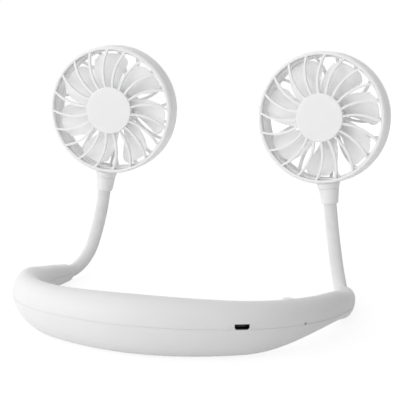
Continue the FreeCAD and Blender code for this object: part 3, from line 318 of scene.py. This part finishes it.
NODE_FINISHES: dict[str, Finish] = {
    "band_upper_shell": BAND_ABS, "band_lower_shell": BAND_ABS, "front_grille": HEAD_ABS_PAINTED_LIGHT,
    "rear_shell": HEAD_ABS_PAINTED_LIGHT, "neck_socket": SOCKET_ABS, "impeller": BLADE_POLYPROPYLENE,
    "power_button": BUTTON_ABS, "indicator_lens": LENS_ACRYLIC, "indicator_led": LED_EPOXY,
    "usb_socket_shell": SOCKET_STEEL, "usb_contact_tongue": CONTACT_POLYMER, "tact_switch": SWITCH_NYLON,
    "tact_plunger": SWITCH_NYLON, "circuit_board": BOARD_LAMINATE, "battery_cell": CELL_FILM,
    "shell_screws": ZINC_STEEL, "motor_can": CAN_STEEL, "motor_end_cap": SWITCH_NYLON,
    "motor_bushes": BUSH_BRONZE, "motor_shaft": SHAFT_STEEL, "motor_rotor": ROTOR_STEEL,
    "base_ferrule": ZINC_STEEL, "head_ferrule": ZINC_STEEL, "band_lead": LEAD_PVC, "head_lead": LEAD_PVC,
}


@dataclass(frozen=True)
class Run:
    """A stretch of a route: straight, or an arc about a centre.

    Args:
        start: Where the stretch starts.
        heading: Its direction there.
        length: Its length.
        centre: The arc's centre, or None where the stretch is straight.
        axis: The arc's axis, by the right-hand rule.
    """

    start: Vector
    heading: Vector
    length: float
    centre: Vector | None = None
    axis: Vector | None = None

    @property
    def turn(self) -> float:
        """The arc's whole angle, 0 where the stretch is straight."""
        return 0.0 if self.centre is None else self.length / (self.start - self.centre).length

    def place(self, run: float) -> tuple[Vector, Vector]:
        """Finds the point and direction at a length along the stretch.

        Args:
            run: Length from its start.

        Returns:
            The point and the direction.
        """
        if self.centre is None:
            return self.start + self.heading * run, self.heading
        spin = Quaternion(self.axis, self.turn * run / self.length)
        return self.centre + spin @ (self.start - self.centre), spin @ self.heading

    def part(self, first: float, last: float) -> "Run":
        """Cuts a piece out of the stretch.

        Args:
            first: Length from the start where the piece begins.
            last: Length from the start where the piece ends.

        Returns:
            The piece.
        """
        start, heading = self.place(first)
        return Run(start, heading, last - first, self.centre, self.axis)


@dataclass(frozen=True)
class NeckRoute:
    """The centreline of a flexible neck, worked out from the ends of its CAD sleeve.

    Args:
        runs: The stretches, from the band to the head.
    """

    runs: tuple[Run, ...]

    @classmethod
    def of_sleeve(cls, node: bpy.types.Object, seat: float) -> "NeckRoute":
        """Reads the two flat ends of a sleeve and joins them by two tangent arcs.

        Args:
            node: The sleeve's CAD node.
            seat: Straight length at each end.

        Returns:
            The route.
        """
        (start, heading), (end, facing) = sleeve_ends(node)
        first = Run(start, heading, seat)
        last = Run(end - facing * seat, facing, seat)
        leave = first.place(seat)[0]
        chord, both = last.start - leave, heading + facing
        spread = 2 * (1 - heading.dot(facing))
        reach = (math.sqrt(chord.dot(both) ** 2 + spread * chord.length_squared) - chord.dot(both)) / spread
        meeting = (leave + last.start + (heading - facing) * reach) / 2
        lower = arc_run(leave, heading, meeting)
        upper = arc_run(meeting, lower.place(lower.length)[1], last.start)
        return cls((first, lower, upper, last))

    @property
    def length(self) -> float:
        """Length of the whole route."""
        return sum(run.length for run in self.runs)

    def place(self, run: float) -> tuple[Vector, Vector]:
        """Finds the point and direction at a length along the route.

        Args:
            run: Length from the route's start.

        Returns:
            The point and the direction.
        """
        for stretch in self.runs[:-1]:
            if run <= stretch.length:
                return stretch.place(run)
            run -= stretch.length
        return self.runs[-1].place(run)

    def nearest(self, point: Vector, steps: int = 400) -> float:
        """Finds the length along the route that is nearest to a point.

        Args:
            point: A point beside the route.
            steps: How many places are tried.

        Returns:
            The length.
        """
        places = [self.length * i / steps for i in range(steps + 1)]
        return min(places, key=lambda run: (self.place(run)[0] - point).length)

    def between(self, first: float, last: float) -> Iterator[Run]:
        """Gives the stretches between two lengths.

        Args:
            first: Length where the first stretch begins.
            last: Length where the last stretch ends.

        Returns:
            The stretches, cut to those lengths.
        """
        at = 0.0
        for stretch in self.runs:
            low, high = max(first - at, 0.0), min(last - at, stretch.length)
            if high > low:
                yield stretch.part(low, high)
            at += stretch.length


def arc_run(start: Vector, heading: Vector, end: Vector) -> Run:
    """Makes the arc that leaves a point in a direction and ends at another point.

    Args:
        start: The arc's first point.
        heading: The direction there.
        end: The arc's last point.

    Returns:
        The arc as a stretch.
    """
    chord = end - start
    axis = heading.cross(chord).normalized()
    half_turn = heading.angle(chord)
    radius = chord.length / (2 * math.sin(half_turn))
    return Run(start, heading, 2 * half_turn * radius, start + axis.cross(heading) * radius, axis)


@dataclass(frozen=True)
class Flat:
    """The faces of a node that face one way.

    Args:
        way: The way that they face.
        centre: Their middle.
    """

    way: Vector
    centre: Vector


def flats_of(node: bpy.types.Object) -> list[Flat]:
    """Gathers a node's faces by the way they face.

    Args:
        node: A CAD node.

    Returns:
        The flats, the largest first.
    """
    areas: dict[tuple[float, ...], float] = {}
    sums: dict[tuple[float, ...], Vector] = {}
    for face in node.data.polygons:
        way = tuple(round(value, WAY_DIGITS) for value in face.normal)
        areas[way] = areas.get(way, 0.0) + face.area
        sums[way] = sums.get(way, Vector()) + face.center * face.area
    ways = sorted(areas, key=areas.get, reverse=True)
    return [Flat(Vector(way).normalized(), sums[way] / areas[way]) for way in ways if areas[way] > 0.0]


def sleeve_ends(node: bpy.types.Object) -> tuple[tuple[Vector, Vector], tuple[Vector, Vector]]:
    """Finds the two flat end rings of a sleeve, which are its largest flats.

    Args:
        node: The sleeve's CAD node.

    Returns:
        Centre and direction towards the head at the band's end, then at the head's end.
    """
    low, high = sorted(flats_of(node)[:2], key=lambda flat: flat.centre.z)
    return (low.centre, -low.way), (high.centre, high.way)


def edit(piece: bpy.types.Object) -> None:
    """Makes a piece the only one selected and opens it for editing with all of it selected.

    Args:
        piece: The piece.
    """
    bpy.ops.object.select_all(action="DESELECT")
    bpy.context.view_layer.objects.active = piece
    piece.select_set(True)
    bpy.ops.object.mode_set(mode="EDIT")
    bpy.ops.mesh.select_all(action="SELECT")


def close_edit() -> None:
    """Merges doubled points, turns the faces outwards and leaves edit mode."""
    bpy.ops.mesh.select_all(action="SELECT")
    bpy.ops.mesh.remove_doubles(threshold=MERGE_GAP)
    bpy.ops.mesh.normals_make_consistent(inside=False)
    bpy.ops.object.mode_set(mode="OBJECT")


def apply_modifier(piece: bpy.types.Object, kind: str, **settings: Any) -> None:
    """Adds a modifier with its settings and applies it.

    Args:
        piece: The piece that takes it.
        kind: The modifier's type.
        settings: Its attributes, by name.
    """
    bpy.context.view_layer.objects.active = piece
    modifier = piece.modifiers.new(kind.lower(), kind)
    for name, value in settings.items():
        setattr(modifier, name, value)
    bpy.ops.object.modifier_apply(modifier=modifier.name)


@dataclass(frozen=True)
class FlexTube:
    """A round flexible tube or rod that follows part of a neck's route.

    Args:
        radius: Outer radius.
        wall: Wall thickness, or 0 for a solid rod.
        step: Length between its rings of points.
        sides: Number of points in a ring.
        rib: How far every second ring is drawn in.
    """

    radius: float
    wall: float
    step: float
    sides: int
    rib: float = 0.0

    def model(self, name: str, route: NeckRoute, first: float, last: float) -> bpy.types.Object:
        """Models the tube by extruding a ring along the route's straights and spinning it round its arcs.

        Args:
            name: The piece's name.
            route: The neck's route.
            first: Length along the route where the tube starts.
            last: Length along the route where it ends.

        Returns:
            The finished piece.
        """
        bpy.ops.object.select_all(action="DESELECT")
        start, heading = route.place(first)
        turn = heading.to_track_quat("Z", "Y").to_euler()
        fill = "NOTHING" if self.wall else "NGON"
        bpy.ops.mesh.primitive_circle_add(vertices=self.sides, radius=self.radius, fill_type=fill,
                                          location=start, rotation=turn)
        piece = bpy.context.object
        piece.name = name
        bpy.ops.object.transform_apply(location=True, rotation=True, scale=True)
        edit(piece)
        for stretch in route.between(first, last):
            steps = max(1, round(stretch.length / self.step))
            if stretch.centre is None:
                move = stretch.heading * (stretch.length / steps)
                for _ in range(steps):
                    bpy.ops.mesh.extrude_region_move(TRANSFORM_OT_translate={"value": move})
            else:
                bpy.ops.mesh.spin(steps=steps, angle=-stretch.turn, center=stretch.centre,
                                  axis=stretch.axis)
        close_edit()
        if self.rib:
            self.draw_in_ribs(piece)
        if self.wall:
            apply_modifier(piece, "SOLIDIFY", thickness=self.wall, offset=-1.0, use_even_offset=True)
        bpy.ops.object.shade_smooth_by_angle(angle=SMOOTH_ANGLE)
        return piece

    def draw_in_ribs(self, piece: bpy.types.Object) -> None:
        """Draws every second ring of points in, so that the tube is ribbed.

        Args:
            piece: The tube, a ring of points after another.
        """
        edit(piece)
        bpy.ops.mesh.select_all(action="DESELECT")
        bpy.ops.object.mode_set(mode="OBJECT")
        for point in piece.data.vertices:
            point.select = (point.index // self.sides) % 2 == 1
        bpy.ops.object.mode_set(mode="EDIT")
        bpy.ops.transform.shrink_fatten(value=-self.rib)
        bpy.ops.object.mode_set(mode="OBJECT")


@dataclass(frozen=True)
class NeckLayer:
    """One layer of a flexible neck.

    Args:
        kind: What the layer is.
        tube: Its shape.
        finish: Its finish.
        slot: The CAD material that it stands for; not used.
        lower_nodes: The CAD nodes that its lower half stands for.
        upper_nodes: The CAD nodes that its upper half stands for.
    """

    kind: str
    tube: FlexTube
    finish: Finish
    slot: str
    lower_nodes: tuple[str, ...]
    upper_nodes: tuple[str, ...]


@dataclass
class FlexibleNeck:
    """One side's flexible neck: a silicone sleeve over a wound core, with the motor's lead inside.

    Args:
        side: The neck's side.
        seat: Length of the sleeve inside the band's tip and inside the head's socket.
        bend_span: Length over which the neck turns at each bend.
        layers: What the neck is made of, from the outside in.
    """

    side: Side
    seat: float = 5.5 * MM
    bend_span: float = 25.0 * MM
    layers: tuple[NeckLayer, ...] = (
        NeckLayer("silicone_sleeve", FlexTube(3.85 * MM, 1.1 * MM, 1.0 * MM, sides=48), SLEEVE_SILICONE,
                  "white_silicone", ("silicone_sleeve",), ("silicone_sleeve",)),
        NeckLayer("gooseneck", FlexTube(2.6 * MM, 1.2 * MM, 0.6 * MM, sides=32, rib=0.3 * MM), CORE_STEEL,
                  "steel", ("gooseneck_root", "gooseneck_middle"), ("gooseneck_crown",)),
        NeckLayer("neck_lead", FlexTube(0.9 * MM, 0.0, 1.5 * MM, sides=16), LEAD_PVC,
                  "lead_sheath", ("neck_lead",), ("neck_lead",)),
    )

    def build(self) -> list[bpy.types.Object]:
        """Models the neck's soft pieces, each in a lower and an upper half that meet at mid-length.

        Returns:
            The pieces.
        """
        route = NeckRoute.of_sleeve(frame["nodes"][self.named("silicone_sleeve")], self.seat)
        middle = route.length / 2
        made = []
        for layer in self.layers:
            halves = ((Half.LOWER, 0.0, middle, layer.lower_nodes),
                      (Half.UPPER, middle, route.length, layer.upper_nodes))
            for half, first, last, nodes in halves:
                piece = layer.tube.model(self.named(f"{layer.kind}_{half.value}"), route, first, last)
                layer.finish.dress(piece)
                self.bend(piece, route, half)
                made.append((piece, nodes))
        for piece, nodes in made:
            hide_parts(*[self.named(node) for node in nodes])
        return [piece for piece, _ in made]

    def named(self, name: str) -> str:
        """Puts the neck's side before a name."""
        return f"{self.side.value}_{name}"

    def bend(self, piece: bpy.types.Object, route: NeckRoute, half: Half) -> None:
        """Finds the stretch of the route about the joint that its half crosses, and bakes the piece's
        placement into its points.

        Args:
            piece: The piece.
            route: The neck's route.
            half: The piece's half of the neck.
        """
        joint_name = self.named(f"neck_{half.value}_bend")
        joint = next(joint for joint in frame["joints"] if joint["name"] == joint_name)
        bend_run = route.nearest(Vector(joint["pos_m"]))
        start = route.place(bend_run - self.bend_span / 2)[0]
        end = route.place(bend_run + self.bend_span / 2)[0]
        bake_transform(piece)
        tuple(start)
        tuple(end)


@dataclass
class ChargingContacts:
    """The contact strips on the underside of the charging socket's tongue.

    Args:
        count: Number of strips.
        pitch: Distance between strips.
        width: Width of a strip.
        length: Length of a strip's flat.
        lead_in: Length of the sloped end that a plug meets first.
        thick: Height of a strip above the tongue.
        setback: Distance of the strips from the tongue's front edge.
        rounding: Rounding of a strip's edges.
        rounding_steps: Number of faces across that rounding.
    """

    count: int = 5
    pitch: float = 0.65 * MM
    width: float = 0.4 * MM
    length: float = 2.2 * MM
    lead_in: float = 0.4 * MM
    thick: float = 0.1 * MM
    setback: float = 0.1 * MM
    rounding: float = 0.02 * MM
    rounding_steps: int = 2

    def build(self) -> bpy.types.Object:
        """Models one strip, copies it across the tongue and joins the copies.

        Returns:
            The finished piece.
        """
        place = self.tongue_place()
        first = self.model_strip()
        strips = [first]
        for _ in range(self.count - 1):
            copy = first.copy()
            copy.data = first.data.copy()
            bpy.context.scene.collection.objects.link(copy)
            strips.append(copy)
        bpy.ops.object.select_all(action="DESELECT")
        for index, strip in enumerate(strips):
            shift = Vector(((index - (self.count - 1) / 2) * self.pitch, 0.0, 0.0))
            strip.matrix_world = place @ Matrix.Translation(shift)
            strip.select_set(True)
        bpy.context.view_layer.objects.active = first
        bpy.ops.object.transform_apply(location=True, rotation=True, scale=True)
        bpy.ops.object.join()
        first.name = "charging_contacts"
        edit(first)
        close_edit()
        bpy.ops.object.shade_smooth_by_angle(angle=SMOOTH_ANGLE)
        CONTACT_GOLD.dress(first)
        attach(first, "band")
        return first

    def model_strip(self) -> bpy.types.Object:
        """Models one strip at the origin: a flat with a sloped lead-in and rounded edges.

        Returns:
            The strip, with its flat's back edge at the origin and its length along Y.
        """
        bpy.ops.object.select_all(action="DESELECT")
        bpy.ops.mesh.primitive_cube_add(size=1.0, location=(0.0, 0.5, 0.5))
        strip = bpy.context.object
        bpy.ops.object.transform_apply(location=True, rotation=True, scale=True)
        edit(strip)
        bpy.ops.transform.resize(value=(self.width, self.length, self.thick),
                                 center_override=(0.0, 0.0, 0.0))
        bpy.ops.mesh.select_all(action="DESELECT")
        bpy.ops.object.mode_set(mode="OBJECT")
        front = max(strip.data.polygons, key=lambda face: face.normal.y)
        front.select = True
        bpy.ops.object.mode_set(mode="EDIT")
        slope = Vector((0.0, self.lead_in, -self.thick / 2))
        bpy.ops.mesh.extrude_region_move(TRANSFORM_OT_translate={"value": slope})
        bpy.ops.mesh.select_all(action="SELECT")
        bpy.ops.mesh.bevel(offset=self.rounding, segments=self.rounding_steps, affect="EDGES")
        close_edit()
        return strip

    def tongue_place(self) -> Matrix:
        """Finds the tongue's underside and its mouth from its four largest flats.

        Returns:
            A frame with X across the tongue, Y towards the mouth and Z down, at the back of the strips.
        """
        node = frame["nodes"]["usb_contact_tongue"]
        ways = [flat.way for flat in flats_of(node)]
        down = min(ways[:2], key=lambda way: way.z)
        mouth = min(ways[2:4], key=lambda way: way.y)
        across = mouth.cross(down)
        points = [point.co for point in node.data.vertices]
        middle = sum(points, Vector()) / len(points)
        under = max((point - middle).dot(down) for point in points)
        front = max((point - middle).dot(mouth) for point in points)
        back = front - self.length - self.lead_in - self.setback
        origin = middle + down * under + mouth * back
        turn = Matrix((across, mouth, down)).transposed()
        return Matrix.Translation(origin) @ turn.to_4x4()


@dataclass(frozen=True)
class Softbox:
    """A square lamp that faces the object.

    Args:
        name: What the lamp is.
        place: Where it hangs, in metres.
        size: Length of its side, in metres.
        power: Its power in watts.
        mirrored: Whether glossy surfaces show it.
    """

    name: str
    place: tuple[float, float, float]
    size: float
    power: float
    mirrored: bool = True

    def hang(self, target: Vector) -> None:
        """Hangs the lamp in the scene.

        Args:
            target: The point that it faces.
        """
        data = bpy.data.lights.new(self.name, "AREA")
        data.size = self.size
        data.energy = self.power
        lamp = bpy.data.objects.new(self.name, data)
        bpy.context.scene.collection.objects.link(lamp)
        lamp.location = self.place
        lamp.rotation_mode = "QUATERNION"
        lamp.rotation_quaternion = (target - Vector(self.place)).to_track_quat("-Z", "Y")
        lamp.visible_glossy = self.mirrored


def seen_directly(tree: bpy.types.NodeTree) -> bpy.types.NodeSocket:
    """Says whether a ray comes from the lens, a reflection or a see-through surface.

    Args:
        tree: The node tree that asks.

    Returns:
        A socket that is 1 for such a ray.
    """
    rays = add_node(tree, "ShaderNodeLightPath", {}, {}).outputs
    either = add_node(tree, "ShaderNodeMath", {"operation": "MAXIMUM"},
                      {0: rays["Is Camera Ray"], 1: rays["Is Glossy Ray"]}).outputs[0]
    return add_node(tree, "ShaderNodeMath", {"operation": "MAXIMUM"},
                    {0: either, 1: rays["Is Transmission Ray"]}).outputs[0]


@dataclass
class Studio:
    """Plain soft light, a pale floor and the camera.

    Args:
        aim: The point that the camera and the lamps face.
        azimuth: The camera's turn about the object, in degrees.
        elevation: Its height above the horizon, in degrees.
        roll: Its turn about its own axis, in degrees.
        distance: Its distance from the point that it faces.
        lens_mm: Its focal length.
        sensor_mm: Width of its sensor.
        ambient: Mean strength of the light from all round.
        slope: How much stronger it is on the bright side, and weaker on the dark one.
        bright_side: Direction of the bright side.
        key: The lamp in front of the object, on its bright side.
        rear: The low lamp behind it, which lights the blades through the rear grilles.
        floor_size: Length of the floor's side, in metres.
        floor_colour: The paper's sRGB colour.
        floor_glow: Brightness of the paper that the lens sees without any light.
        floor_depth: Share of light that the lens sees on the paper, which a shadow takes away.
    """

    aim: tuple[float, float, float] = (-1.179 * MM, 34.745 * MM, 54.971 * MM)
    azimuth: float = 18.03
    elevation: float = 14.366
    roll: float = -1.106
    distance: float = 758.585 * MM
    lens_mm: float = 115.36
    sensor_mm: float = 36.0
    ambient: float = 0.75
    slope: float = 0.67
    bright_side: tuple[float, float, float] = (-0.88, -0.475, 0.0)
    key: Softbox = Softbox("key_softbox", (-0.42, -0.35, 0.22), 0.4, 0.5)
    rear: Softbox = Softbox("rear_softbox", (-0.11, 0.62, 0.07), 0.18, 1.1, mirrored=False)
    floor_size: float = 12.0
    floor_colour: str = "#EDEDED"
    floor_glow: float = 0.86
    floor_depth: float = 0.20

    def build(self) -> None:
        """Sets up the world, the lamps, the floor and the camera."""
        scene = bpy.context.scene
        scene.view_settings.view_transform = "Standard"
        self.light_world(scene)
        for lamp in (self.key, self.rear):
            lamp.hang(Vector(self.aim))
        self.add_floor()
        self.add_camera(scene)

    def light_world(self, scene: bpy.types.Scene) -> None:
        """Lights the scene from all round, most from the bright side, and shows the lens a white backdrop.

        Args:
            scene: The scene that gets the world.
        """
        world = bpy.data.worlds.new("white_studio")
        world.use_nodes = True
        tree = world.node_tree
        tree.nodes.clear()
        seen = seen_directly(tree)
        way = add_node(tree, "ShaderNodeTexCoord", {}, {}).outputs["Generated"]
        facing = add_node(tree, "ShaderNodeVectorMath", {"operation": "DOT_PRODUCT"},
                          {0: way, 1: self.bright_side}).outputs["Value"]
        level = add_node(tree, "ShaderNodeMapRange", {},
                         {"Value": facing, "From Min": -1.0, "To Min": self.ambient - self.slope,
                          "To Max": self.ambient + self.slope}).outputs["Result"]
        soft = add_node(tree, "ShaderNodeBackground", {}, {"Strength": level})
        white = add_node(tree, "ShaderNodeBackground", {}, {"Strength": 1.0})
        for light in (soft, white):
            light.inputs["Color"].default_value = linear("#FFFFFF")
        mixed = add_node(tree, "ShaderNodeMixShader", {},
                         {0: seen, 1: soft.outputs[0], 2: white.outputs[0]}).outputs[0]
        add_node(tree, "ShaderNodeOutputWorld", {}, {"Surface": mixed})
        scene.world = world

    def add_floor(self) -> None:
        """Lays a white paper floor that keeps a faint shadow of the object."""
        bpy.ops.object.select_all(action="DESELECT")
        bpy.ops.mesh.primitive_plane_add(size=self.floor_size, location=(0.0, 0.0, CAD_BOX[0].z))
        floor = bpy.context.object
        floor.name = "studio_floor"
        bpy.ops.object.transform_apply(location=True, rotation=True, scale=True)
        paper = bpy.data.materials.new("white_paper_floor")
        paper.use_nodes = True
        tree = paper.node_tree
        tree.nodes.clear()
        seen = seen_directly(tree)
        plain = add_node(tree, "ShaderNodeBsdfDiffuse", {}, {"Color": linear(self.floor_colour)}).outputs[0]
        grey = (self.floor_depth, self.floor_depth, self.floor_depth, 1.0)
        faint = add_node(tree, "ShaderNodeBsdfDiffuse", {}, {"Color": grey}).outputs[0]
        lit = add_node(tree, "ShaderNodeEmission", {}, {"Strength": self.floor_glow}).outputs[0]
        shown = add_node(tree, "ShaderNodeAddShader", {}, {0: faint, 1: lit}).outputs[0]
        mixed = add_node(tree, "ShaderNodeMixShader", {}, {0: seen, 1: plain, 2: shown}).outputs[0]
        add_node(tree, "ShaderNodeOutputMaterial", {}, {"Surface": mixed})
        floor.data.materials.append(paper)

    def add_camera(self, scene: bpy.types.Scene) -> None:
        """Puts the camera at the photograph's viewpoint.

        Args:
            scene: The scene that gets the camera.
        """
        turn, rise = math.radians(self.azimuth), math.radians(self.elevation)
        back = Vector((math.sin(turn) * math.cos(rise), -math.cos(turn) * math.cos(rise), math.sin(rise)))
        data = bpy.data.cameras.new("product_camera")
        data.lens = self.lens_mm
        data.sensor_width = self.sensor_mm
        camera = bpy.data.objects.new("product_camera", data)
        scene.collection.objects.link(camera)
        camera.location = Vector(self.aim) + back * self.distance
        camera.rotation_mode = "QUATERNION"
        tilt = Quaternion((0.0, 0.0, 1.0), math.radians(self.roll))
        camera.rotation_quaternion = (-back).to_track_quat("-Z", "Y") @ tilt
        scene.camera = camera


def dress_nodes() -> None:
    """Gives every CAD node the finish of the piece that it is."""
    for name, node in frame["nodes"].items():
        plain = name
        for side in Side:
            plain = plain.removeprefix(f"{side.value}_")
        finish = NODE_FINISHES.get(plain)
        if finish:
            finish.dress(node)
            LOG.info("%s: %s", name, finish.name)


def main() -> None:
    """Dresses the fan, models its soft pieces and sets up the studio."""
    logging.basicConfig(level=logging.INFO)
    dress_nodes()
    pieces = [piece for side in Side for piece in FlexibleNeck(side).build()]
    pieces.append(ChargingContacts().build())
    for piece in pieces:
        LOG.info("%s: %d faces", piece.name, len(piece.data.polygons))
    Studio().build()


if __name__ == "__main__":
    main()
